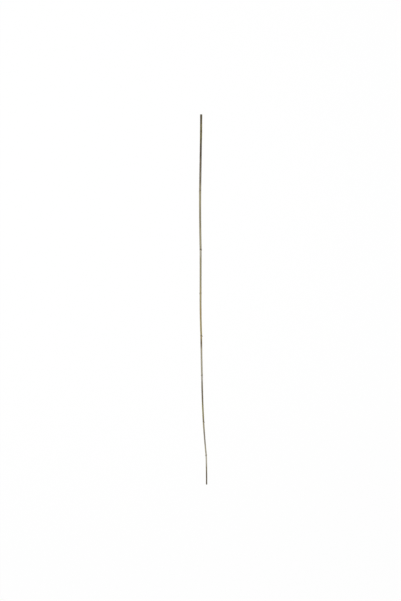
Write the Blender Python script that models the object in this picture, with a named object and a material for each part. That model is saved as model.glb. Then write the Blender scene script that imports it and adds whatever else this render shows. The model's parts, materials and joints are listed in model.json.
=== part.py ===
# A natural bamboo garden cane, sawn square at both ends, lying on flat ground.
# Metres, +Z up. The cane lies along Y with its thick butt end at +Y. The origin is on the ground under
# the middle of its bounding box.
# A node is one of the ringed swellings where a leaf sheath and a branch grew, and an internode is the
# plain stretch between two of them. Places are given by "along", the distance from the butt end.

import math
from collections import namedtuple

import bmesh
import bpy
from mathutils import Matrix, Vector

# Sizes are in millimetres up to the functions that place vertices.
MM = 0.001

BUTT_DIAMETER = 10.5
THIN_END_DIAMETER = 6.4
TAPER_CURVE = 1.75
SIDES = 24

# The internodes from the butt to the thin end: the length, and how far the middle bows towards +X.
Internode = namedtuple("Internode", "length bow")
INTERNODES = (
    Internode(83, 0.0),
    Internode(289, 0.0),
    Internode(285, -1.0),
    Internode(212, 0.0),
    Internode(207, -1.2),
    Internode(192, -0.4),
    Internode(227, -1.2),
    Internode(163, -0.9),
    Internode(142, 0.5),
)

# The nodes between them: how far the cane's middle line stands towards +X, how far the node clears
# the ground, the side its bud grew on in degrees from +X towards +Z, and how far the trimmed stub of
# its branch stands out. The two nodes nearest the butt never had a branch.
Node = namedtuple("Node", "sideways clearance bud_side stub")
NODES = (
    Node(-0.6, 0.0, 14, 0.0),
    Node(-5.2, 1.3, 190, 0.0),
    Node(-2.7, 0.6, 22, 1.5),
    Node(-3.0, 0.0, 196, 1.0),
    Node(0.2, 0.9, 12, 2.2),
    Node(3.6, 1.5, 187, 1.2),
    Node(11.3, 0.8, 20, 1.1),
    Node(24.4, 0.0, 192, 1.3),
)
BUTT_SIDEWAYS, BUTT_CLEARANCE = 0.0, 1.0
THIN_END_SIDEWAYS, THIN_END_CLEARANCE = 26.4, 1.6
KINK_REACH = 5.0

# The rings of a node on a cane of REFERENCE_RADIUS, which shrink with the cane: the height, the place
# past the sheath scar towards the thin end, and the spread before and after that place.
REFERENCE_RADIUS = 5.0
Relief = namedtuple("Relief", "height past before after")
SHEATH_FLARE = Relief(0.16, 0.0, 5.0, 0.6)
SHEATH_RIM = Relief(0.26, 0.0, 0.55, 0.35)
NODE_RIDGE = Relief(0.36, 3.4, 1.3, 1.7)
NODE_SWELLING = Relief(0.14, 2.0, 5.0, 7.0)
RELIEFS = (SHEATH_FLARE, SHEATH_RIM, NODE_RIDGE, NODE_SWELLING)

# The bud is a low mound just past the sheath scar. A shallow groove runs on from one with a branch.
BUD_PLACE = 2.4
BUD_SPREAD = 1.7
BUD_HEIGHT = 0.3
BRANCH_BASE_HEIGHT = 0.65
GROOVE_DEPTH = 0.28
GROOVE_HALF_WIDTH = 1.9
GROOVE_FADES_OVER = 34.0

# The branch stubs lean towards the thin end and are trimmed parallel to the cane.
STUB_RADIUS = 1.35
STUB_BASE_RADIUS = 1.55
STUB_LEAN = math.radians(42)
STUB_SIDES = 12
STUB_ROOT_SHARE = 0.55

# The sawn ends: a worn edge, and the narrow hollow that runs in almost to the nearest node.
EDGE_WEAR = 0.25
HOLLOW_SHARE = 0.29
NODE_WALL = 6.0

# A slightly oval section that turns slowly along the cane, and a waist in each internode.
OVALNESS = 0.012
OVAL_TURN_LENGTH = 610.0
WAIST_SHARE = 0.018

# How deep the resting nodes are worn flat where they touch the ground.
FLAT_DEPTH = 0.25

# Rings of vertices past the sheath scar of each node, and the widest spacing of rings between nodes.
NODE_RINGS = (-9, -5.5, -3, -1.6, -0.8, -0.3, 0, 0.4, 1, 1.8, 2.4, 2.9, 3.4, 3.9, 4.4, 5.2, 6.6, 9, 13, 20)
INTERNODE_RING_SPACING = 36.0

LENGTH = sum(internode.length for internode in INTERNODES)
NODE_PLACES = [sum(part.length for part in INTERNODES[: index + 1]) for index in range(len(NODES))]


def clear_scene():
    for obj in list(bpy.data.objects):
        bpy.data.objects.remove(obj)


def taper_radius(along):
    """The cane's plain radius. It keeps its thickness for longer near the butt."""
    share = max(along, 0.0) / LENGTH
    return (BUTT_DIAMETER + (THIN_END_DIAMETER - BUTT_DIAMETER) * share**TAPER_CURVE) / 2


def node_scale(place):
    return taper_radius(place) / REFERENCE_RADIUS


def bump(offset, before, after=None):
    """1 at no offset, fading to 0 over the spread before it and the spread after it."""
    spread = before if offset < 0 or after is None else after
    return math.exp(-((offset / spread) ** 2))


def internode_at(along):
    """The number of the internode that a place lies on, and its share of the way along it."""
    starts = [0] + NODE_PLACES
    index = max([i for i, start in enumerate(starts) if start <= along], default=0)
    return index, (along - starts[index]) / INTERNODES[index].length


def swelling(along):
    """How far the rings of the nodes stand out, the same all round the cane."""
    total = 0.0
    for place in NODE_PLACES:
        scale = node_scale(place)
        for relief in RELIEFS:
            offset = (along - place) / scale - relief.past
            total += relief.height * scale * bump(offset, relief.before, relief.after)
    return total


def waist(along):
    share = internode_at(along)[1]
    return WAIST_SHARE * taper_radius(along) * max(0.0, 4 * share * (1 - share))


def bud_relief(along, angle):
    """The bud's mound and the groove that runs on from it, on one side of the cane."""
    total = 0.0
    for place, node in zip(NODE_PLACES, NODES):
        scale = node_scale(place)
        turn = (angle - math.radians(node.bud_side) + math.pi) % math.tau - math.pi
        around = turn * REFERENCE_RADIUS
        past = (along - place) / scale - BUD_PLACE
        height = BRANCH_BASE_HEIGHT if node.stub else BUD_HEIGHT
        total += height * scale * bump(past, BUD_SPREAD) * bump(around, BUD_SPREAD)
        if node.stub and past > 0:
            depth = GROOVE_DEPTH * scale * (1 - bump(past, BUD_SPREAD)) * bump(past, GROOVE_FADES_OVER)
            total -= depth * bump(around, GROOVE_HALF_WIDTH)
    return total


def skin_radius(along, angle):
    oval = OVALNESS * math.cos(2 * (angle - math.tau * along / OVAL_TURN_LENGTH))
    plain = taper_radius(along) * (1 + oval) - waist(along)
    return plain + swelling(along) + bud_relief(along, angle)


def resting_height(place, clearance):
    """The height of the middle line that holds a node's ridge the given distance off the ground."""
    ridge = min(place + NODE_RIDGE.past * node_scale(place), LENGTH)
    return skin_radius(ridge, -math.pi / 2) - FLAT_DEPTH + clearance


def kinked_middle_line(along):
    """The sideways place and the height of the middle line, which turns sharply at the nodes."""
    places = [0] + NODE_PLACES + [LENGTH]
    sideways = [BUTT_SIDEWAYS] + [node.sideways for node in NODES] + [THIN_END_SIDEWAYS]
    clearances = [BUTT_CLEARANCE] + [node.clearance for node in NODES] + [THIN_END_CLEARANCE]
    index, share = internode_at(along)
    bow = 4 * INTERNODES[index].bow * share * (1 - share)
    x = sideways[index] * (1 - share) + sideways[index + 1] * share + bow
    low = resting_height(places[index], clearances[index])
    high = resting_height(places[index + 1], clearances[index + 1])
    return x, low * (1 - share) + high * share


def middle_line(along):
    """The middle line with its turns at the nodes rounded off."""
    before = kinked_middle_line(max(along - KINK_REACH, 0.0))
    here = kinked_middle_line(along)
    after = kinked_middle_line(min(along + KINK_REACH, LENGTH))
    return [(b + 2 * h + a) / 4 for b, h, a in zip(before, here, after)]


def skin_places():
    """Where the rings of the skin lie, close together over each node."""
    places = {EDGE_WEAR, LENGTH - EDGE_WEAR}
    for place in NODE_PLACES:
        places |= {place + past * node_scale(place) for past in NODE_RINGS}
    ordered = sorted(places)
    for start, end in zip(ordered, ordered[1:]):
        steps = math.ceil((end - start) / INTERNODE_RING_SPACING)
        places |= {start + (end - start) * step / steps for step in range(1, steps)}
    return sorted(places)


def surface_rings():
    """Each ring's place and its radius at an angle, in order over the surface: out of the butt's
    hollow, over the sawn edge, along the skin, and into the hollow of the thin end."""

    def skin(along, inset=0.0):
        return along, lambda angle: skin_radius(along, angle) - inset

    def hollow(end, along):
        return along, lambda angle: HOLLOW_SHARE * taper_radius(end)

    butt_wall = NODE_PLACES[0] - NODE_WALL
    thin_wall = NODE_PLACES[-1] + NODE_WALL
    rings = [hollow(0, along) for along in (butt_wall, butt_wall / 2, 0)]
    rings.append(skin(0, EDGE_WEAR))
    rings += [skin(along) for along in skin_places()]
    rings.append(skin(LENGTH, EDGE_WEAR))
    rings += [hollow(LENGTH, along) for along in (LENGTH, (LENGTH + thin_wall) / 2, thin_wall)]
    return rings


def place_ring(verts, angle_layer, along, radius_at):
    x, z = middle_line(along)
    for vert in verts:
        angle = vert[angle_layer]
        radius = radius_at(angle)
        vert.co = Vector((x + radius * math.cos(angle), -along, z + radius * math.sin(angle))) * MM


def build_culm():
    """The cane itself: a loop of edges extruded from ring to ring and closed at both ends. Each
    vertex remembers its angle round the cane, which an extrusion passes on to the next ring."""
    bm = bmesh.new()
    angle_layer = bm.verts.layers.float.new("angle")
    across = Matrix.Rotation(math.pi / 2, 4, "X")
    verts = bmesh.ops.create_circle(bm, cap_ends=True, segments=SIDES, radius=1, matrix=across)["verts"]
    for vert in verts:
        vert[angle_layer] = math.atan2(vert.co.z, vert.co.x)
    edges = list(bm.edges)
    first, *others = surface_rings()
    place_ring(verts, angle_layer, *first)
    for ring in others:
        made = bmesh.ops.extrude_edge_only(bm, edges=edges)["geom"]
        verts = [part for part in made if isinstance(part, bmesh.types.BMVert)]
        edges = [part for part in made if isinstance(part, bmesh.types.BMEdge)]
        place_ring(verts, angle_layer, *ring)
    bmesh.ops.contextual_create(bm, geom=edges)
    for vert in bm.verts:
        vert.co.z = max(vert.co.z, 0.0)
    bmesh.ops.recalc_face_normals(bm, faces=bm.faces)
    bm.verts.layers.float.remove(angle_layer)
    return make_object("bamboo_cane", bm, bpy.context.scene.collection)


def build_stub(name, place, node, collection):
    """A branch stub rooted in the cane, leaning towards the thin end and cut parallel to it."""
    scale = node_scale(place)
    surface = taper_radius(place)
    root = surface * STUB_ROOT_SHARE
    cut = surface + node.stub
    depth = (cut - root) / math.cos(STUB_LEAN) + 2 * STUB_RADIUS
    bm = bmesh.new()
    bmesh.ops.create_cone(
        bm,
        cap_ends=True,
        segments=STUB_SIDES,
        radius1=STUB_BASE_RADIUS * scale,
        radius2=STUB_RADIUS * scale,
        depth=depth,
        matrix=Matrix.Translation((0, 0, depth / 2)),
    )
    # It is drawn standing on top of the cane, with the thin end towards -Y, then turned to its side.
    bmesh.ops.rotate(bm, verts=bm.verts, matrix=Matrix.Rotation(STUB_LEAN, 3, "X"))
    bmesh.ops.translate(bm, verts=bm.verts, vec=(0, 0, root))
    geometry = list(bm.verts) + list(bm.edges) + list(bm.faces)
    trimmed = bmesh.ops.bisect_plane(
        bm, geom=geometry, plane_co=(0, 0, cut), plane_no=(0, 0, 1), clear_outer=True
    )
    rim = [part for part in trimmed["geom_cut"] if isinstance(part, bmesh.types.BMEdge)]
    bmesh.ops.contextual_create(bm, geom=rim)
    bmesh.ops.recalc_face_normals(bm, faces=bm.faces)
    to_side = Matrix.Rotation(math.radians(90 - node.bud_side), 3, "Y")
    bmesh.ops.rotate(bm, verts=bm.verts, matrix=to_side)
    along = place + BUD_PLACE * scale - (surface - root) * math.tan(STUB_LEAN)
    x, z = middle_line(along)
    bmesh.ops.translate(bm, verts=bm.verts, vec=(x, -along, z))
    bmesh.ops.scale(bm, verts=bm.verts, vec=(MM, MM, MM))
    make_object(name, bm, collection)


def make_object(name, bm, collection):
    mesh = bpy.data.meshes.new(name)
    bm.to_mesh(mesh)
    bm.free()
    obj = bpy.data.objects.new(name, mesh)
    collection.objects.link(obj)
    return obj


def fuse_stubs(cane):
    """Joins the branch stubs to the cane, which grew as one piece with them."""
    stubs = bpy.data.collections.new("branch_stubs")
    bpy.context.scene.collection.children.link(stubs)
    for number, (place, node) in enumerate(zip(NODE_PLACES, NODES), start=1):
        if node.stub:
            build_stub(f"branch_stub_{number}", place, node, stubs)
    union = cane.modifiers.new("branch_stubs", "BOOLEAN")
    union.operation = "UNION"
    union.operand_type = "COLLECTION"
    union.collection = stubs
    graph = bpy.context.evaluated_depsgraph_get()
    fused = bpy.data.meshes.new_from_object(cane.evaluated_get(graph))
    cane.modifiers.clear()
    cane.data = fused
    for stub in list(stubs.objects):
        bpy.data.objects.remove(stub)
    bpy.data.collections.remove(stubs)


def centre_over_origin(cane):
    xs = [vertex.co.x for vertex in cane.data.vertices]
    ys = [vertex.co.y for vertex in cane.data.vertices]
    middle = Vector(((min(xs) + max(xs)) / 2, (min(ys) + max(ys)) / 2, 0))
    cane.data.transform(Matrix.Translation(-middle))


def dress(cane):
    """Dull, weathered bamboo, smooth round the cane and sharp at the sawn edges."""
    skin = bpy.data.materials.new("weathered_bamboo")
    skin.use_nodes = True
    shader = skin.node_tree.nodes["Principled BSDF"]
    shader.inputs["Base Color"].default_value = (0.34, 0.30, 0.21, 1)
    shader.inputs["Roughness"].default_value = 0.5
    shader.inputs["Metallic"].default_value = 0.0
    cane.data.materials.clear()
    cane.data.materials.append(skin)
    cane.data.shade_smooth()
    cane.data.set_sharp_from_angle(angle=math.radians(40))


clear_scene()
bamboo_cane = build_culm()
fuse_stubs(bamboo_cane)
centre_over_origin(bamboo_cane)
dress(bamboo_cane)
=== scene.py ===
import json
import math

import bmesh
import bpy
import numpy as np
from mathutils import Matrix, Vector

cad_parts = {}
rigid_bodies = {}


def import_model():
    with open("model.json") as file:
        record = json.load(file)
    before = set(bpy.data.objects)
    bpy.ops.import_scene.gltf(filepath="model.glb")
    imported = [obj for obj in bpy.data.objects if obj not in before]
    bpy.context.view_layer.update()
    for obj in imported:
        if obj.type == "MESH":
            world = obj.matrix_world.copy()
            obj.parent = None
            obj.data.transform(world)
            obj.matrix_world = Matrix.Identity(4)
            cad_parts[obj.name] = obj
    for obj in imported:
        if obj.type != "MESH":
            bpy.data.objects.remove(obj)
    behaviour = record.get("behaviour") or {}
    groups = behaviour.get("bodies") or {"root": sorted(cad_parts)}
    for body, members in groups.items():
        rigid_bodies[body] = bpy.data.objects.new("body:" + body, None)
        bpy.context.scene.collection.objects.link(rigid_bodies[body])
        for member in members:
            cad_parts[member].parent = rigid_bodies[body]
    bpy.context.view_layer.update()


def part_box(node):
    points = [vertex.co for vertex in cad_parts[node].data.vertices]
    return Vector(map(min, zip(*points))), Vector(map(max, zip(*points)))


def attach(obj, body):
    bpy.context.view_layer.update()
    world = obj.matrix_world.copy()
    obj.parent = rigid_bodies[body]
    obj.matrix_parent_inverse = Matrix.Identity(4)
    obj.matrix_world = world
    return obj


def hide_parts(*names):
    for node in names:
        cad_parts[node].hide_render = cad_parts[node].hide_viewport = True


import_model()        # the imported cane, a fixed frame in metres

# A bamboo garden cane lying on a pale floor, seen from straight above with its butt end at the top.
# The cane's sizes are in millimetres until its mesh is placed. "along" is the distance from the butt
# end, and a knot is one of the ringed swellings where a leaf sheath and a branch grew.

mm = 0.001
caneLow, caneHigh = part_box("bamboo_cane")
print("frame loaded, cane", round((caneHigh - caneLow).y, 3), "m long")


# materials

tree = None                                  # the node tree of the material being made


def paint(red, green, blue):                 # a colour as a paint chart gives it, made linear
    chart = [value / 255 for value in (red, green, blue)]
    return tuple(v / 12.92 if v <= 0.04045 else ((v + 0.055) / 1.055) ** 2.4 for v in chart) + (1.0,)


def newMaterial(name):
    global tree
    mat = bpy.data.materials.new(name)
    mat.use_nodes = True
    tree = mat.node_tree
    return mat, tree.nodes["Principled BSDF"]


def feed(socket, value):
    if isinstance(value, bpy.types.NodeSocket):
        tree.links.new(value, socket)
    else:
        socket.default_value = value


def surfaceValue(name, output="Fac"):        # a value that the mesh carries
    node = tree.nodes.new("ShaderNodeAttribute")
    node.attribute_name = name
    return node.outputs[output]


def stretched(vector, scale):
    node = tree.nodes.new("ShaderNodeMapping")
    feed(node.inputs["Vector"], vector)
    node.inputs["Scale"].default_value = scale
    return node.outputs["Vector"]


def grainNoise(vector, scale, detail=2.0, roughness=0.55):
    node = tree.nodes.new("ShaderNodeTexNoise")
    feed(node.inputs["Vector"], stretched(vector, scale))
    node.inputs["Scale"].default_value = 1.0
    node.inputs["Detail"].default_value = detail
    node.inputs["Roughness"].default_value = roughness
    return node.outputs["Fac"]


def spots(vector, scale, randomness=1.0):
    node = tree.nodes.new("ShaderNodeTexVoronoi")
    feed(node.inputs["Vector"], stretched(vector, scale))
    node.inputs["Scale"].default_value = 1.0
    node.inputs["Randomness"].default_value = randomness
    return node.outputs["Distance"]


def ranged(value, low, high, toLow, toHigh):
    node = tree.nodes.new("ShaderNodeMapRange")
    feed(node.inputs["Value"], value)
    for name, number in (("From Min", low), ("From Max", high), ("To Min", toLow), ("To Max", toHigh)):
        node.inputs[name].default_value = number
    return node.outputs["Result"]


def sums(operation, first, second):
    node = tree.nodes.new("ShaderNodeMath")
    node.operation = operation
    node.use_clamp = True
    feed(node.inputs[0], first)
    feed(node.inputs[1], second)
    return node.outputs[0]


def blended(factor, under, over, how="MIX"):
    node = tree.nodes.new("ShaderNodeMix")
    node.data_type = "RGBA"
    node.blend_type = how
    feed(node.inputs[0], factor)
    feed(node.inputs[6], under)
    feed(node.inputs[7], over)
    return node.outputs[2]


def shaded(colour, light):                   # a colour made lighter or darker by a grey value
    node = tree.nodes.new("ShaderNodeCombineColor")
    for channel in range(3):
        feed(node.inputs[channel], light)
    return blended(1.0, colour, node.outputs[0], "MULTIPLY")


def addBump(shader, height, relief):         # relief is a strength, and a depth in metres
    node = tree.nodes.new("ShaderNodeBump")
    feed(node.inputs["Height"], height)
    node.inputs["Strength"].default_value, node.inputs["Distance"].default_value = relief
    feed(shader.inputs["Normal"], node.outputs["Normal"])


# In the finishes below, a noise is given by its waves in a metre: across, along and across the cane.
# A pair of shades is for the darkest and the lightest of a noise.

skinFinish = {
    "sound": paint(140, 132, 102),           # dry skin with nothing on it
    "tones": [                               # laid on in this order: mesh value, colour, streakiness
        ("ochre", paint(180, 157, 94), 0.5),
        ("olive", paint(118, 111, 44), 0.5),
        ("weather", paint(105, 96, 79), 0.9),
        ("stain", paint(74, 64, 47), 0.7),
        ("bloom", paint(203, 200, 196), 0.8),
        ("grime", paint(80, 66, 46), 0.7),
        ("ridgeWear", paint(184, 174, 146), 0.8),
        ("scar", paint(62, 48, 34), 0.3),
    ],
    "streaks": (780, 8, 780),
    "fibres": (3300, 42, 3300),
    "fibreLight": (0.84, 1.08),
    "patches": (105, 28, 105),
    "patchLight": (0.86, 1.09),
    "fleck": paint(72, 60, 46),              # dirt in the cracks, and the mould
    "clefts": (1250, 6.5, 1250),             # drying cracks follow the middle of this noise
    "crackWidth": 0.015,
    "openings": (240, 17, 240),              # and show where this one is high
    "crackStrength": 0.6,
    "mould": (560, 170, 560),
    "colonies": (420, 150, 420),
    "mouldStrength": 0.75,
    "scuff": paint(196, 190, 172),
    "scuffs": (2100, 24, 2100),
    "scuffStrength": 0.5,
    "roughness": (0.46, 0.66),
    "bloomRoughness": 0.2,                   # what a full bloom adds
    "shine": 0.2,
    "relief": (0.5, 0.00007),
}


def weatheredSkin():
    mat, shader = newMaterial("weatheredSkin")
    finish, growth = skinFinish, surfaceValue("growth", "Vector")
    streaks = grainNoise(growth, finish["streaks"], 3)
    fibres = grainNoise(growth, finish["fibres"], 3, 0.6)
    patches = grainNoise(growth, finish["patches"], 3)
    colour = finish["sound"]
    for name, tone, streakiness in finish["tones"]:
        uneven = ranged(streaks, 0.32, 0.68, 1 - 0.5 * streakiness, 1 + 0.35 * streakiness)
        colour = blended(sums("MULTIPLY", surfaceValue(name), uneven), colour, tone)
    colour = shaded(colour, ranged(fibres, 0.3, 0.7, *finish["fibreLight"]))
    colour = shaded(colour, ranged(patches, 0.3, 0.7, *finish["patchLight"]))

    cleft, width = grainNoise(growth, finish["clefts"], 2, 0.4), finish["crackWidth"]
    cracks = sums("MULTIPLY", ranged(cleft, 0.5 - width, 0.5, 0, 1), ranged(cleft, 0.5, 0.5 + width, 1, 0))
    opened = ranged(grainNoise(growth, finish["openings"], 2), 0.5, 0.62, 0, finish["crackStrength"])
    colour = blended(sums("MULTIPLY", cracks, opened), colour, finish["fleck"])

    frayed = sums("ADD", spots(growth, finish["mould"]), ranged(fibres, 0.3, 0.7, 0, 0.22))
    mould = ranged(frayed, 0.2, 0.36, finish["mouldStrength"], 0)
    colonies = ranged(grainNoise(growth, finish["colonies"], 2), 0.5, 0.64, 0, 1)
    colour = blended(sums("MULTIPLY", mould, colonies), colour, finish["fleck"])

    scuffs = ranged(grainNoise(growth, finish["scuffs"], 2), 0.66, 0.74, 0, finish["scuffStrength"])
    bared = sums("MULTIPLY", ranged(patches, 0.45, 0.6, 0, 1), ranged(surfaceValue("scar"), 0, 0.15, 1, 0))
    colour = blended(sums("MULTIPLY", scuffs, bared), colour, finish["scuff"])

    feed(shader.inputs["Base Color"], colour)
    powdery = ranged(surfaceValue("bloom"), 0, 1, 0, finish["bloomRoughness"])
    feed(shader.inputs["Roughness"], sums("ADD", ranged(streaks, 0.3, 0.7, *finish["roughness"]), powdery))
    shader.inputs["Specular IOR Level"].default_value = finish["shine"]
    height = sums("ADD", ranged(fibres, 0.2, 0.8, 0, 0.6), ranged(streaks, 0.2, 0.8, 0, 0.4))
    addBump(shader, height, finish["relief"])
    return mat


sawnFinish = {
    "pith": paint(196, 176, 134),
    "wood": paint(150, 124, 88),
    "fibre": paint(84, 62, 40),
    "rind": paint(96, 78, 54),
    "dirt": paint(110, 100, 84),
    "hollow": paint(116, 92, 60),
    # painted shade: the near-black that a hollow's wall turns to deep inside
    "deep": paint(34, 26, 18),
    "bundles": (2300, 60, 2300),             # the fibre bundles near the hollow
    "crowded": (4600, 60, 4600),             # and the smaller ones near the rind
    "scatter": 0.8,
    "dirtPatches": (520, 520, 520),
    "sawing": (900, 900, 5200),
    "roughness": 0.8,
    "relief": (0.5, 0.0001),
}


def sawnGrain():
    mat, shader = newMaterial("sawnGrain")
    finish, growth = sawnFinish, surfaceValue("growth", "Vector")
    outwards, depth = surfaceValue("rimShare"), surfaceValue("depth")
    colour = blended(ranged(outwards, 0.3, 0.95, 0, 1), finish["pith"], finish["wood"])
    bundles = ranged(spots(growth, finish["bundles"], finish["scatter"]), 0.18, 0.34, 0.75, 0)
    bundles = sums("MULTIPLY", bundles, ranged(outwards, 0.6, 0.82, 1, 0.3))
    crowded = ranged(spots(growth, finish["crowded"], finish["scatter"]), 0.2, 0.42, 0.85, 0)
    crowded = sums("MULTIPLY", crowded, ranged(outwards, 0.58, 0.8, 0, 1))
    colour = blended(sums("MAXIMUM", bundles, crowded), colour, finish["fibre"])
    colour = blended(ranged(outwards, 0.9, 0.97, 0, 0.8), colour, finish["rind"])
    dirt = ranged(grainNoise(growth, finish["dirtPatches"], 4), 0.4, 0.7, 0, 0.7)
    colour = blended(dirt, colour, finish["dirt"])
    colour = blended(ranged(depth, 0, 0.02, 0, 1), colour, finish["hollow"])
    # painted shade: the hollow's wall darkens towards near black the deeper it lies
    colour = blended(ranged(depth, 0.05, 1, 0, 0.95), colour, finish["deep"])
    feed(shader.inputs["Base Color"], colour)
    shader.inputs["Roughness"].default_value = finish["roughness"]
    sawing = ranged(grainNoise(growth, finish["sawing"], 3), 0.3, 0.7, 0, 0.5)
    addBump(shader, sums("ADD", sawing, ranged(crowded, 0, 1, 0.4, 0)), finish["relief"])
    return mat


stubFinish = {
    "bark": paint(128, 112, 84),
    "oldBark": paint(86, 72, 54),
    "barkMottle": (900, 420, 900),
    "barkFibres": (3800, 900, 3800),
    "barkLight": (0.8, 1.1),
    "barkRoughness": 0.65,
    "barkRelief": (0.4, 0.0001),
    "cut": paint(176, 158, 122),
    "cutFibre": paint(112, 90, 62),
    "cutRim": paint(96, 76, 52),
    "pith": paint(120, 88, 56),
    "bundles": (3400, 3400, 3400),
    "weathering": (700, 700, 700),
    "cutRoughness": 0.85,
    "cutRelief": (0.4, 0.00008),
}


def stubBark():
    mat, shader = newMaterial("stubBark")
    finish, growth = stubFinish, surfaceValue("growth", "Vector")
    mottle = grainNoise(growth, finish["barkMottle"], 4)
    colour = blended(ranged(mottle, 0.35, 0.65, 0, 1), finish["bark"], finish["oldBark"])
    fibres = grainNoise(growth, finish["barkFibres"], 3)
    colour = shaded(colour, ranged(fibres, 0.3, 0.7, *finish["barkLight"]))
    feed(shader.inputs["Base Color"], colour)
    shader.inputs["Roughness"].default_value = finish["barkRoughness"]
    addBump(shader, mottle, finish["barkRelief"])
    return mat


def trimmedBranch():
    mat, shader = newMaterial("trimmedBranch")
    finish, growth = stubFinish, surfaceValue("growth", "Vector")
    outwards = surfaceValue("stubShare")
    colour = blended(ranged(outwards, 0.32, 0.5, 0.9, 0), finish["cut"], finish["pith"])
    bundles = ranged(spots(growth, finish["bundles"]), 0.2, 0.4, 0.8, 0)
    colour = blended(bundles, colour, finish["cutFibre"])
    colour = blended(ranged(outwards, 0.82, 1, 0, 0.85), colour, finish["cutRim"])
    weathering = ranged(grainNoise(growth, finish["weathering"], 3), 0.4, 0.7, 0, 0.6)
    colour = blended(weathering, colour, sawnFinish["dirt"])
    feed(shader.inputs["Base Color"], colour)
    shader.inputs["Roughness"].default_value = finish["cutRoughness"]
    addBump(shader, bundles, finish["cutRelief"])
    return mat


caneMaterials = [weatheredSkin(), sawnGrain(), stubBark(), trimmedBranch()]
slots = {"skin": 0, "sawn": 1, "hollow": 1, "bark": 2, "trimmed": 3}       # the material of each region
bakeMap = "OFBake"
print("materials:", ", ".join(mat.name for mat in caneMaterials))


# the cane's form

cane = {
    "buttDiameter": 10.5,
    "tipDiameter": 6.4,
    "taperCurve": 1.75,
    "referenceRadius": 5.0,                  # the radius of cane that the knots' sizes are given for
    "sides": 72,
    "internodes": [                          # length, and how far the middle bows towards +X
        (83, 0.0), (289, 0.0), (285, -1.0), (212, 0.0), (207, -1.2),
        (192, -0.4), (227, -1.2), (163, -0.9), (142, 0.5),
    ],
    "sideways": [0.0, -0.6, -5.2, -2.7, -3.0, 0.2, 3.6, 11.3, 24.4, 26.4],     # butt, knots, tip
    "clearance": [1.0, 0.0, 1.3, 0.6, 0.0, 0.9, 1.5, 0.8, 0.0, 1.6],           # off the floor
    "kinkReach": 5.0,                        # over which the turn at a knot is rounded off
    "ovalness": 0.012,                       # a share of the radius, as the waist is
    "ovalTurn": 610.0,                       # the length in which the oval turns once
    "waist": 0.018,                          # how much an internode thins midway
    "flatDepth": 0.25,                       # worn off the knots that it rests on
    "unevenness": 0.035,
    "unevenWaves": (                         # waves round it, the length of one along it, and strength
        (1, 61.0, 0.5), (2, 47.0, 0.6), (3, 33.0, 0.45), (4, 90.0, 0.35), (6, 55.0, 0.25),
    ),
    "firstRing": 1.2,                        # of the mesh past a sawn end's worn edge
    "knotRings": (1.6, 5.5),                 # before and past a knot's place, where rings are closest
    "knotStep": 0.13,                        # between rings of the mesh at a knot
    "stepGrowth": 0.16,
    "longestStep": 5.0,
    "seamGap": 0.0001,
    "sharpAngle": 50,                        # degrees between two faces, past which their edge is sharp
}

knot = {
    "budSide": [14, 190, 22, 196, 12, 187, 20, 192],    # degrees from +X towards +Z
    "stub": [0, 0, 1.5, 1.0, 2.2, 1.2, 1.1, 1.3],       # how far a branch stub stands out
    "flare": (0.16, 0.0, 5.0, 0.6),                     # height, place, spread before and after
    "rim": (0.26, 0.0, 0.55, 0.35),                     # of the sheath scar
    "crease": (-0.13, 0.75, 0.3, 0.3),                  # left by the sheath past its rim
    "ridge": (0.36, 3.4, 1.3, 1.7),
    "swelling": (0.14, 2.0, 5.0, 7.0),
    "rimWaver": 0.14,
    "rimWear": 0.3,                                     # how unevenly the rim and the ridge stand out
    "ridgeWear": 0.12,
    "rimDip": (0.7, 2.2),                               # below a bud: depth, and half its width
    "budPlace": 2.4,
    "budSpread": 1.7,
    "budHeight": 0.3,
    "branchBase": 0.65,
    "grooveDepth": 0.28,
    "grooveHalfWidth": 1.9,
    "grooveFades": 34.0,
    "reach": 110.0,                                     # of all these from the knot's place
}

internodeLengths = np.array([length for length, bow in cane["internodes"]], float)
internodeBows = np.array([bow for length, bow in cane["internodes"]])
caneLength = internodeLengths.sum()
knotPlaces = np.cumsum(internodeLengths)[:-1]
allPlaces = np.concatenate([[0.0], knotPlaces, [caneLength]])


def taperRadius(along):
    share = np.clip(np.asarray(along, float) / caneLength, 0, 1)
    narrowing = cane["buttDiameter"] - cane["tipDiameter"]
    return (cane["buttDiameter"] - narrowing * share ** cane["taperCurve"]) / 2


def knotScale(number):
    return float(taperRadius(knotPlaces[number])) / cane["referenceRadius"]


def bump(offset, before, after=None):        # 1 at no offset, fading on each side
    spread = np.where(np.asarray(offset) < 0, before, before if after is None else after)
    return np.exp(-((offset / spread) ** 2))


knotWaves = ((2, 0.4), (3, 0.35), (5, 0.3), (8, 0.2), (13, 0.12), (21, 0.08))      # count and strength
ridgeWaves = ((1, 0.6), (2, 0.5), (4, 0.3))


def waver(angle, seed, waves=knotWaves):     # an uneven line round the cane, from -1 to 1 or so
    draw = np.random.default_rng(seed)
    return sum(strength * np.cos(count * angle + draw.uniform(0, math.tau)) for count, strength in waves)


def aroundFrom(angle, number):               # millimetres round the cane from a knot's bud
    turn = (angle - math.radians(knot["budSide"][number]) + math.pi) % math.tau - math.pi
    return turn * cane["referenceRadius"]


def pastRim(along, angle, number):           # past the sheath scar, which dips below the bud
    depth, halfWidth = knot["rimDip"]
    dip = depth * bump(aroundFrom(angle, number), halfWidth)
    waves = knot["rimWaver"] * waver(angle, number)
    return (along - knotPlaces[number]) / knotScale(number) - waves + dip


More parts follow.
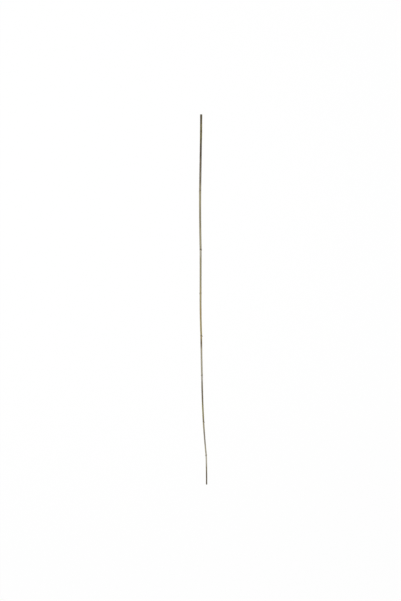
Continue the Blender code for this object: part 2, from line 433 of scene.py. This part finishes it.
def knotRelief(along, angle, number):        # the rings, bud and groove of one knot
    past = (along - knotPlaces[number]) / knotScale(number)
    rimPast, around = pastRim(along, angle, number), aroundFrom(angle, number)
    rimWear = 1 + knot["rimWear"] * waver(angle, 20 + number)
    ridgeWear = 1 + knot["ridgeWear"] * waver(angle, 40 + number, ridgeWaves)
    total = 0
    for name, offset, wear in (
        ("flare", rimPast, 1), ("rim", rimPast, rimWear), ("crease", rimPast, rimWear),
        ("ridge", past, ridgeWear), ("swelling", past, 1),
    ):
        height, place, before, after = knot[name]
        total = total + height * wear * bump(offset - place, before, after)
    fromBud = past - knot["budPlace"]
    hasBranch = knot["stub"][number] > 0
    height = knot["branchBase"] if hasBranch else knot["budHeight"]
    total = total + height * bump(fromBud, knot["budSpread"]) * bump(around, knot["budSpread"])
    if hasBranch:
        groove = knot["grooveDepth"] * bump(around, knot["grooveHalfWidth"])
        groove = groove * (1 - bump(fromBud, knot["budSpread"])) * bump(fromBud, knot["grooveFades"])
        total = total - np.where(fromBud > 0, groove, 0)
    return total * knotScale(number)


def internodeAt(along):                      # its number, and the share of the way along it
    number = np.clip(np.searchsorted(allPlaces, along, side="right") - 1, 0, len(internodeLengths) - 1)
    return number, (along - allPlaces[number]) / internodeLengths[number]


def skinRadius(along, angle):
    along, angle = np.broadcast_arrays(np.asarray(along, float), np.asarray(angle, float))
    share = internodeAt(along)[1]
    oval = cane["ovalness"] * np.cos(2 * (angle - math.tau * along / cane["ovalTurn"]))
    radius = taperRadius(along) * (1 + oval - cane["waist"] * np.clip(4 * share * (1 - share), 0, 1))
    for number, place in enumerate(knotPlaces):
        near = np.abs(along - place) < knot["reach"]
        if near.any():
            radius = radius + np.where(near, knotRelief(along, angle, number), 0)
    return radius


def slowUnevenness(along, angle):            # the flats and dents of a grown surface
    return cane["unevenness"] * sum(
        strength * np.cos(count * angle + math.tau * along / length + count * count)
        for count, length, strength in cane["unevenWaves"]
    )


def restingHeight(number):                   # of the middle line, at the butt, a knot or the tip
    place = allPlaces[number]
    ridge = min(place + knot["ridge"][1] * float(taperRadius(place)) / cane["referenceRadius"], caneLength)
    return float(skinRadius(ridge, -math.pi / 2)) - cane["flatDepth"] + cane["clearance"][number]


heights = np.array([restingHeight(number) for number in range(len(allPlaces))])
sideways = np.array(cane["sideways"])


def kinkedLine(along):
    number, share = internodeAt(np.clip(along, 0, caneLength))
    x = sideways[number] * (1 - share) + sideways[number + 1] * share
    x = x + 4 * internodeBows[number] * share * (1 - share)
    return x, heights[number] * (1 - share) + heights[number + 1] * share


def middleLine(along):                       # with the turns at the knots rounded off
    lines = [kinkedLine(along + step) for step in (-cane["kinkReach"], 0, cane["kinkReach"])]
    return [(lines[0][axis] + 2 * lines[1][axis] + lines[2][axis]) / 4 for axis in (0, 1)]


# the culm, with its sawn ends and the hollow behind each

sawnEnd = {
    "wear": [(0.0, 0.3), (0.1, 0.13), (0.28, 0.04), (0.6, 0.0)],       # place and inset of the worn edge
    "faceShares": [0.33, 0.4, 0.5, 0.6, 0.7, 0.8, 0.88],               # rings across the sawn face
    "sawMarks": 0.045,
    "sawWaves": ((1, 0.5), (2, 0.4), (7, 0.5), (15, 0.5)),
    "hollowShare": 0.29,                                               # of the radius
    "hollowUnevenness": 0.04,
    "hollowWaves": ((2, 1), (3, 0.6)),
    "hollowSteps": 9,
    "stepPower": 0.7,                                                  # steps shorten towards the sawn face
    "bottomShares": (0.1, 0.5, 0.85),
    "bottomDish": 0.4,
    "knotWall": 6.0,                                                   # between the hollow and the knot
}


def knotToKnotPlaces():                      # rings along the skin, closest together at the knots
    before, past = cane["knotRings"]
    places, along = [], cane["firstRing"]
    while along < caneLength - cane["firstRing"]:
        places.append(along)
        away = min(max(place - before - along, along - place - past, 0) for place in knotPlaces)
        along += min(cane["longestStep"], cane["knotStep"] + cane["stepGrowth"] * away)
    return places


def endRings(end, inwards):                  # from the bottom of the hollow out to the sawn face
    outer = float(taperRadius(end))
    hollow = sawnEnd["hollowShare"] * outer
    bottom = (knotPlaces[0] if end == 0 else knotPlaces[-1]) - inwards * sawnEnd["knotWall"]
    rings = []
    for share in sawnEnd["bottomShares"]:
        rings.append(("hollow", bottom + inwards * sawnEnd["bottomDish"] * (1 - share), hollow * share))
    for step in range(sawnEnd["hollowSteps"] + 1):
        outwards = (step / sawnEnd["hollowSteps"]) ** sawnEnd["stepPower"]
        rings.append(("hollow", bottom + (end - bottom) * outwards, hollow))
    return rings + [("sawn", end, outer * share) for share in sawnEnd["faceShares"]]


def caneRings():                             # region, place, and the inset of the skin or the radius
    wear = sawnEnd["wear"]
    rings = endRings(0.0, 1) + [("skin", place, inset) for place, inset in wear]
    rings += [("skin", place, 0.0) for place in knotToKnotPlaces()]
    rings += [("skin", caneLength - place, inset) for place, inset in reversed(wear)]
    return rings + endRings(caneLength, -1)[::-1]


def ringPoints(angles, region, place, size):
    along = np.full(len(angles), float(place))
    if region == "skin":
        radius = skinRadius(along, angles) + slowUnevenness(along, angles) - size
    elif region == "sawn":
        along = along + sawnEnd["sawMarks"] * waver(angles, int(size * 10), sawnEnd["sawWaves"])
        radius = np.full(len(angles), size)
    else:
        radius = size * (1 + sawnEnd["hollowUnevenness"] * waver(angles, 77, sawnEnd["hollowWaves"]))
    x, z = middleLine(along)
    onFloor = np.maximum(z + radius * np.sin(angles), 0)
    return np.stack([x + radius * np.cos(angles), -along, onFloor], 1)


flatSheet = {                                # where the skin lies when it is laid out flat, each axis 0 to 1
    "strips": 8,                             # side by side, each an eighth of the cane's length
    "stripWidth": 0.10875,
    "gap": 0.004,
    "stripEnds": (0.012, 0.988),
    "column": (0.885, 0.995),                # beside the strips, for all the rest
    "hollows": {"butt": (0.57, 0.77), "tip": (0.78, 0.98)},
    "sawnFaces": {"butt": (0.94, 0.055), "tip": (0.94, 0.165)},
    "sawnRadius": 0.05,
    "barks": (0.31, 0.041, 0.034),           # start of the first, the step to the next, and height
    "trims": (0.905, 0.238, 0.035),          # first centre, and the step to the next
    "trimScale": 0.0085,                     # for each millimetre
}


def bandsOf(rings):                          # the kind of the faces between two rings, and their sheet place
    kinds = ["sawn" if "sawn" in (a[0], b[0]) else a[0] for a, b in zip(rings, rings[1:])]
    radii = np.array([taperRadius(place) if kind == "skin" else size for kind, place, size in rings], float)
    places = np.array([place for kind, place, size in rings])
    travel = np.concatenate([[0], np.cumsum(np.hypot(np.diff(places), np.diff(radii)))])
    strip = np.clip(places[:-1] / caneLength * flatSheet["strips"], 0, flatSheet["strips"] - 1).astype(int)
    ends = ["butt" if row < len(rings) / 2 else "tip" for row in range(len(kinds))]
    groups = [(kind, end, strip[row] * (kind == "skin")) for row, (kind, end) in enumerate(zip(kinds, ends))]
    bands = []
    for number, group in enumerate(groups):
        first, last = groups.index(group), len(groups) - groups[::-1].index(group)
        shares = (travel[number : number + 2] - travel[first]) / (travel[last] - travel[first])
        bands.append((*group, dict(zip((number, number + 1), shares))))
    return bands, radii


def onSheet(band, radii, row, turn):
    kind, end, strip, shares = band
    if kind == "sawn":
        outwards = flatSheet["sawnRadius"] * radii[row] / radii.max()
        across, up = flatSheet["sawnFaces"][end]
        return across + outwards * math.cos(math.tau * turn), up + outwards * math.sin(math.tau * turn)
    if kind == "skin":
        low, high = flatSheet["stripEnds"]
        left = strip * flatSheet["stripWidth"]
        right = (strip + 1) * flatSheet["stripWidth"] - flatSheet["gap"]
    else:
        low, high = flatSheet["hollows"][end]
        left, right = flatSheet["column"]
    return left + (right - left) * turn, low + (high - low) * shares[row]


def buildCulm():                             # a sheet of faces, rolled up and closed along its seam
    rings = caneRings()
    bands, radii = bandsOf(rings)
    columns = cane["sides"] + 1
    angles = np.linspace(0, math.tau, columns) - math.pi / 2
    bm = bmesh.new()
    bmesh.ops.create_grid(bm, x_segments=columns - 1, y_segments=len(rings) - 1, size=1)
    verts = list(bm.verts)
    for vert, point in zip(verts, np.concatenate([ringPoints(angles, *ring) for ring in rings])):
        vert.co = point
    layer = bm.loops.layers.uv.new(bakeMap)
    for face in bm.faces:
        band = bands[min(vert.index for vert in face.verts) // columns]
        face.material_index = slots[band[0]]
        face.smooth = True
        for loop in face.loops:
            row, column = divmod(loop.vert.index, columns)
            loop[layer].uv = onSheet(band, radii, row, column / cane["sides"])
    seam = verts[columns : 1 - columns : columns] + verts[2 * columns - 1 : -columns : columns]
    for row in (verts[:columns], verts[-columns:]):        # each hollow's bottom closes at a point
        middle = sum((vert.co for vert in row), Vector()) / len(row)
        bmesh.ops.pointmerge(bm, verts=row, merge_co=middle)
    bmesh.ops.remove_doubles(bm, verts=seam, dist=cane["seamGap"])
    bmesh.ops.recalc_face_normals(bm, faces=bm.faces)
    print("culm:", len(rings), "rings,", len(bm.faces), "faces")
    return bm


# the trimmed branch stubs

stub = {
    "radius": 1.35,
    "baseRadius": 1.55,
    "stretch": 1.12,                         # wider along the cane than across it
    "lean": 42,                              # degrees towards the tip
    "rootShare": 0.55,                       # where it starts, as a share of the cane's radius
    "sides": 32,
    "profile": [                             # shares of its length and of its base's width
        (0.0, 1.0), (0.45, 0.99), (0.62, 1.03), (0.68, 0.97), (0.85, 0.96), (1.0, 0.95),
    ],
    "trimTilt": [0, 0, 6, -5, 4, 8, -4, 5],  # degrees off parallel to the cane
    "wornEdge": (0.93, 0.045),               # share of the width left, and rise
    "pithRim": (0.54, 0.0),
    "pith": (0.7, -0.16),
    "reach": 12,                             # along the cane from its knot
    "mostShare": 1.2,                        # of its radius, past which all is alike
}


def ofKind(items, kind):
    return [item for item in items if isinstance(item, kind)]


def buildStub(number, order):
    scale = knotScale(number)
    surface = float(taperRadius(knotPlaces[number]))
    root, cut = surface * stub["rootShare"], surface + knot["stub"][number]
    lean = math.radians(stub["lean"])
    depth = (cut - root) / math.cos(lean) + 2 * stub["radius"]
    bm = bmesh.new()
    bm.loops.layers.uv.new(bakeMap)
    bmesh.ops.create_circle(bm, cap_ends=True, segments=stub["sides"], radius=stub["baseRadius"] * scale)
    bmesh.ops.scale(bm, verts=bm.verts, vec=(1, stub["stretch"], 1))
    edges, height, width = list(bm.edges), 0.0, 1.0
    for nextHeight, nextWidth in stub["profile"][1:]:
        made = bmesh.ops.extrude_edge_only(bm, edges=edges)["geom"]
        verts, edges = ofKind(made, bmesh.types.BMVert), ofKind(made, bmesh.types.BMEdge)
        bmesh.ops.translate(bm, verts=verts, vec=(0, 0, (nextHeight - height) * depth))
        bmesh.ops.scale(bm, verts=verts, vec=(nextWidth / width, nextWidth / width, 1))
        height, width = nextHeight, nextWidth
    bmesh.ops.contextual_create(bm, geom=edges)
    layOutBark(bm, depth, order)
    bmesh.ops.rotate(bm, verts=bm.verts, matrix=Matrix.Rotation(lean, 3, "X"))
    bmesh.ops.translate(bm, verts=bm.verts, vec=(0, 0, root))
    trimStub(bm, cut, number, order)
    toSide = Matrix.Rotation(math.radians(90 - knot["budSide"][number]), 3, "Y")
    bmesh.ops.rotate(bm, verts=bm.verts, matrix=toSide)
    along = knotPlaces[number] + knot["budPlace"] * scale - (surface - root) * math.tan(lean)
    x, z = middleLine(along)
    bmesh.ops.translate(bm, verts=bm.verts, vec=(x, -along, z))
    bmesh.ops.recalc_face_normals(bm, faces=bm.faces)
    return bm


def layOutBark(bm, depth, order):            # in its own place on the flat sheet
    layer = bm.loops.layers.uv[bakeMap]
    left, right = flatSheet["column"]
    start, step, tall = flatSheet["barks"]
    for face in bm.faces:
        face.material_index = slots["bark"]
        face.smooth = True
        facing = face.calc_center_median()
        for loop in face.loops:
            turn = math.atan2(facing.y, facing.x) - facing.xy.angle_signed(loop.vert.co.xy, 0)
            across = left + (right - left) * (turn / math.tau + 0.5)
            loop[layer].uv = (across, start + step * order + tall * loop.vert.co.z / depth)


def trimStub(bm, cut, number, order):        # the knife cut, its worn edge, and the sunken pith
    scale = knotScale(number)
    tilted = Matrix.Rotation(math.radians(stub["trimTilt"][number]), 3, "X") @ Vector((0, 0, 1))
    geom = list(bm.verts) + list(bm.edges) + list(bm.faces)
    trimmed = bmesh.ops.bisect_plane(bm, geom=geom, plane_co=(0, 0, cut), plane_no=tilted, clear_outer=True)
    before = set(bm.faces)
    [face] = bmesh.ops.contextual_create(bm, geom=ofKind(trimmed["geom_cut"], bmesh.types.BMEdge))["faces"]
    stepIn(bm, face, stub["wornEdge"], scale)
    for worn in set(bm.faces) - before - {face}:
        worn.material_index = slots["bark"]
    face.material_index = slots["trimmed"]
    stepIn(bm, face, stub["pithRim"], scale)
    stepIn(bm, face, stub["pith"], scale)
    layOutTrim(bm, set(bm.faces) - before, face.calc_center_median(), order)


def layOutTrim(bm, faces, centre, order):    # seen from above, three to a row
    layer = bm.loops.layers.uv[bakeMap]
    across, up, step = flatSheet["trims"]
    across, up = across + step * (order % 3), up + step * (order // 3)
    for face in faces:
        for loop in face.loops:
            away = (loop.vert.co - centre) * flatSheet["trimScale"]
            loop[layer].uv = (across + away.x, up + away.y)


def stepIn(bm, face, shape, scale):          # draws a face in towards its middle, and raises or sinks it
    share, rise = shape
    bmesh.ops.inset_individual(bm, faces=[face], thickness=0)
    face.normal_update()
    outwards, aboutMiddle = face.normal.copy(), Matrix.Translation(-face.calc_center_median())
    bmesh.ops.scale(bm, verts=face.verts, vec=(share, share, share), space=aboutMiddle)
    bmesh.ops.translate(bm, verts=face.verts, vec=outwards * rise * scale)


def placeInFrame(bm):                        # millimetres from the butt end become the frame's metres
    bmesh.ops.scale(bm, verts=bm.verts, vec=(mm, mm, mm))
    bmesh.ops.translate(bm, verts=bm.verts, vec=buttPlace)


def toObject(name, bm, collection):
    mesh = bpy.data.meshes.new(name)
    bm.to_mesh(mesh)
    bm.free()
    for mat in caneMaterials:
        mesh.materials.append(mat)
    obj = bpy.data.objects.new(name, mesh)
    collection.objects.link(obj)
    return obj


def joinStubs(bambooCane):
    stubs = bpy.data.collections.new("branchStubs")
    bpy.context.scene.collection.children.link(stubs)
    branched = [number for number, standsOut in enumerate(knot["stub"]) if standsOut]
    for order, number in enumerate(branched):
        bm = buildStub(number, order)
        placeInFrame(bm)
        toObject(f"branchStub{number}", bm, stubs)
    union = bambooCane.modifiers.new("branchStubs", "BOOLEAN")
    union.operation = "UNION"
    union.solver = "MANIFOLD"
    union.operand_type = "COLLECTION"
    union.collection = stubs
    graph = bpy.context.evaluated_depsgraph_get()
    joined = bpy.data.meshes.new_from_object(bambooCane.evaluated_get(graph))
    bambooCane.modifiers.clear()
    bambooCane.data = joined
    count = len(stubs.objects)
    for obj in list(stubs.objects):
        bpy.data.objects.remove(obj)
    bpy.data.collections.remove(stubs)
    print("joined", count, "branch stubs,", len(joined.polygons), "faces")


culm = buildCulm()
across = [vert.co.x for vert in culm.verts]
caneMiddle = (min(across) + max(across)) / 2
buttPlace = ((caneLow.x + caneHigh.x) / 2 - caneMiddle * mm, caneHigh.y, caneLow.z)        # in the frame
placeInFrame(culm)
bambooCane = toObject("bambooCane", culm, bpy.context.scene.collection)
joinStubs(bambooCane)


# what lies on the skin and where, as values that the mesh carries for its materials

marks = {
    "tones": {                               # from, to and strength
        "olive": [(0, 225, 0.95), (1000, 1076, 0.25), (1400, 1475, 0.7), (1738, 1800, 0.95)],
        "stain": [
            (0, 55, 0.9), (55, 115, 0.6), (115, 145, 0.85), (145, 225, 1.0), (225, 285, 0.5),
            (285, 345, 0.1), (1098, 1140, 0.75), (1335, 1400, 0.55), (1475, 1495, 0.45), (1738, 1800, 0.7),
        ],
        "ochre": [(835, 930, 0.2), (930, 1000, 0.95), (1000, 1076, 0.4), (1076, 1140, 0.9)],
        "weather": [
            (0, 60, 0.3), (145, 345, 0.95), (345, 372, 0.5), (440, 560, 0.3), (930, 1000, 0.55),
            (1076, 1140, 0.5), (1268, 1385, 0.65), (1500, 1540, 0.15), (1540, 1600, 0.95), (1705, 1738, 0.75),
            (1738, 1800, 0.9),
        ],
        "bloom": [
            (560, 657, 0.05), (657, 690, 0.3), (1135, 1268, 0.2), (1268, 1300, 0.3), (1540, 1658, 0.15),
            (1658, 1705, 0.35),
        ],
    },
    "knotGrime": [0.8, 0.5, 1.0, 0.3, 1.0, 0.7, 1.0, 0.75],            # how dirty each knot is
    "scar": [(0.45, 0.3, 0.5, 1.0), (-0.6, 0.5, 0.3, 0.5)],            # place past the rim, spread before
    "grime": [(1.7, 1.5, 1.3, 0.85), (0.0, 3.4, 0.4, 0.8)],            # and after it, and strength
    "ridgeWear": (0.6, 0.8, 0.5),            # spread before and after the ridge, and strength
    "edgeWaver": 6.6,                        # of a tone's edge between knots
    "edgeWaves": ((1, 0.6), (2, 0.5), (4, 0.4), (9, 0.3)),
    "softEdge": 4.4,
    "crispEdge": 0.35,                       # at a knot
    "grainShare": 0.95,                      # of the radius: past it the grain runs straight over the rings
    "hollowReach": 0.5,                      # of the radius: the vertices of a hollow are within it
    "darkBy": 60.0,                          # how deep in a hollow its painted shade is darkest
}


def pastEdge(along, angle, edge):            # 0 before an edge and 1 past it, ragged, and crisp at a knot
    atKnot = np.flatnonzero(np.abs(knotPlaces - edge) < 1)
    if len(atKnot):
        past = pastRim(along, angle, atKnot[0]) / marks["crispEdge"]
    else:
        ragged = along + marks["edgeWaver"] * waver(angle, int(edge), marks["edgeWaves"])
        past = (ragged - edge) / marks["softEdge"]
    return 1 / (1 + np.exp(-np.clip(past, -40, 40)))       # clipped against overflow


def toneAt(along, angle, stretches):
    total = np.zeros(len(along))
    for start, end, strength in stretches:
        entered = pastEdge(along, angle, start) if start > 0 else 1.0
        left = pastEdge(along, angle, end) if end < caneLength else 0.0
        total = np.maximum(total, strength * entered * (1 - left))
    return total


def caneCoordinates(mesh):                   # each vertex's place, angle and distance from the middle
    flat = np.empty(len(mesh.vertices) * 3, np.float32)
    mesh.vertices.foreach_get("co", flat)
    points = (flat.reshape(-1, 3).astype(float) - np.array(buttPlace)) / mm
    along = -points[:, 1]
    x, z = middleLine(along)
    return along, np.arctan2(points[:, 2] - z, points[:, 0] - x), np.hypot(points[:, 2] - z, points[:, 0] - x)


def store(mesh, name, values):
    kind, field = ("FLOAT_VECTOR", "vector") if values.ndim == 2 else ("FLOAT", "value")
    layer = mesh.attributes.new(name, kind, "POINT")
    layer.data.foreach_set(field, values.astype(np.float32).ravel())


def markSkin(mesh):
    along, angle, radius = caneCoordinates(mesh)
    within = np.minimum(radius, marks["grainShare"] * taperRadius(along))
    store(mesh, "growth", np.stack([within * np.cos(angle), along, within * np.sin(angle)], 1) * mm)
    for name, stretches in marks["tones"].items():
        store(mesh, name, toneAt(along, angle, stretches))
    rims = [pastRim(along, angle, number) for number in range(len(knotPlaces))]
    for name in ("scar", "grime"):
        values = np.zeros(len(along))
        for past, strength in zip(rims, marks["knotGrime"]):
            for place, before, after, share in marks[name]:
                values = np.maximum(values, strength * share * bump(past - place, before, after))
        store(mesh, name, values)
    before, after, strength = marks["ridgeWear"]
    ridges = [strength * bump(past - knot["ridge"][1], before, after) for past in rims]
    store(mesh, "ridgeWear", np.max(ridges, 0))
    store(mesh, "rimShare", radius / taperRadius(along))
    inHollow = radius < marks["hollowReach"] * taperRadius(along)
    # depth into a hollow: it sets the wall's own colour near the end and its painted shade further in
    store(mesh, "depth", np.minimum(along, caneLength - along) / marks["darkBy"] * inHollow)
    store(mesh, "stubShare", stubShares(along, angle, radius))
    print("marked", len(along), "vertices")


def stubShares(along, angle, radius):        # how far out from a stub's own axis, as a share of its radius
    shares, lean = np.ones(len(along)), math.radians(stub["lean"])
    for number, standsOut in enumerate(knot["stub"]):
        if standsOut:
            scale, surface = knotScale(number), float(taperRadius(knotPlaces[number]))
            turn = aroundFrom(angle, number) / cane["referenceRadius"]
            outwards = radius * np.cos(turn) - surface
            axis = knotPlaces[number] + knot["budPlace"] * scale + outwards * math.tan(lean)
            away = np.hypot((along - axis) * math.cos(lean), radius * np.sin(turn))
            near = np.abs(along - knotPlaces[number]) < stub["reach"]
            shares = np.where(near, np.minimum(away / (stub["radius"] * scale), stub["mostShare"]), shares)
    return shares


markSkin(bambooCane.data)
bambooCane.data.set_sharp_from_angle(angle=math.radians(cane["sharpAngle"]))

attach(bambooCane, "root")
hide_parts("bamboo_cane")


# the floor, the light and the camera, in metres

stage = {
    "floorSize": 24.0,
    "floorDrop": 0.00002,
    "floorShade": (0.9, 0.9, 0.9, 1),
    "floorRoughness": 0.9,
    "floorGlow": 0.9,                        # how much of the floor's white is its own, which thins shadows
    "glowStrength": 0.985,
    "white": (1, 1, 1, 1),                   # of the floor's glow and of the sky
    "lampPlace": (-1.0, 0.8, 8.4),
    "lampSize": 2.6,
    "lampPower": 700.0,
    "skyLight": 0.3,
    "skyWhite": 0.97,
    "pixel": 1.8 / 370.1,                    # one pixel of the picture on the floor
    "buttPixel": (201.18, 114.4),
    "frameSize": (401, 601),
    "lens": 85.0,
    "sensor": 36.0,
    "clipEnd": 100,
}


def paleFloor():
    bm = bmesh.new()
    bmesh.ops.create_grid(bm, x_segments=1, y_segments=1, size=stage["floorSize"] / 2)
    bmesh.ops.translate(bm, verts=bm.verts, vec=(0, 0, caneLow.z - stage["floorDrop"]))
    mesh = bpy.data.meshes.new("floor")
    bm.to_mesh(mesh)
    bm.free()
    floor = bpy.data.objects.new("floor", mesh)
    bpy.context.scene.collection.objects.link(floor)
    mat, shader = newMaterial("paleFloor")
    shader.inputs["Base Color"].default_value = stage["floorShade"]
    shader.inputs["Roughness"].default_value = stage["floorRoughness"]
    glow = tree.nodes.new("ShaderNodeEmission")
    glow.inputs["Color"].default_value = stage["white"]
    glow.inputs["Strength"].default_value = stage["glowStrength"]
    mix = tree.nodes.new("ShaderNodeMixShader")
    mix.inputs["Fac"].default_value = stage["floorGlow"]
    tree.links.new(shader.outputs[0], mix.inputs[1])
    tree.links.new(glow.outputs[0], mix.inputs[2])
    tree.links.new(mix.outputs[0], tree.nodes["Material Output"].inputs["Surface"])
    mesh.materials.append(mat)


def softLight():
    light = bpy.data.lights.new("softLight", "AREA")
    light.shape = "DISK"
    light.size = stage["lampSize"]
    light.energy = stage["lampPower"]
    lamp = bpy.data.objects.new("softLight", light)
    lamp.location = stage["lampPlace"]
    lamp.rotation_euler = (-Vector(stage["lampPlace"])).to_track_quat("-Z", "Y").to_euler()
    bpy.context.scene.collection.objects.link(lamp)
    world = bpy.data.worlds.new("whiteSky")
    world.use_nodes = True
    sky = world.node_tree
    background = sky.nodes["Background"]
    background.inputs["Color"].default_value = stage["white"]
    rays = sky.nodes.new("ShaderNodeLightPath")
    glow = sky.nodes.new("ShaderNodeMapRange")           # it looks as white as the floor, and lights less
    glow.inputs["To Min"].default_value = stage["skyLight"]
    glow.inputs["To Max"].default_value = stage["skyWhite"]
    sky.links.new(rays.outputs["Is Camera Ray"], glow.inputs["Value"])
    sky.links.new(glow.outputs["Result"], background.inputs["Strength"])
    bpy.context.scene.world = world
    bpy.context.scene.view_settings.view_transform = "Standard"


def overheadCamera():
    wide, high = stage["frameSize"]
    across, down = stage["buttPixel"]
    x = buttPlace[0] - (across - wide / 2) * stage["pixel"]
    y = buttPlace[1] - (high / 2 - down) * stage["pixel"]
    data = bpy.data.cameras.new("overhead")
    data.lens = stage["lens"]
    data.sensor_width = stage["sensor"]
    camera = bpy.data.objects.new("overhead", data)
    camera.location = (x, y, high * stage["pixel"] * stage["lens"] / stage["sensor"] + caneHigh.z / 2)
    data.clip_end = stage["clipEnd"]
    bpy.context.scene.collection.objects.link(camera)
    bpy.context.scene.camera = camera


paleFloor()
softLight()
overheadCamera()
print("floor, light and camera ready")

bpy.context.view_layer.update()
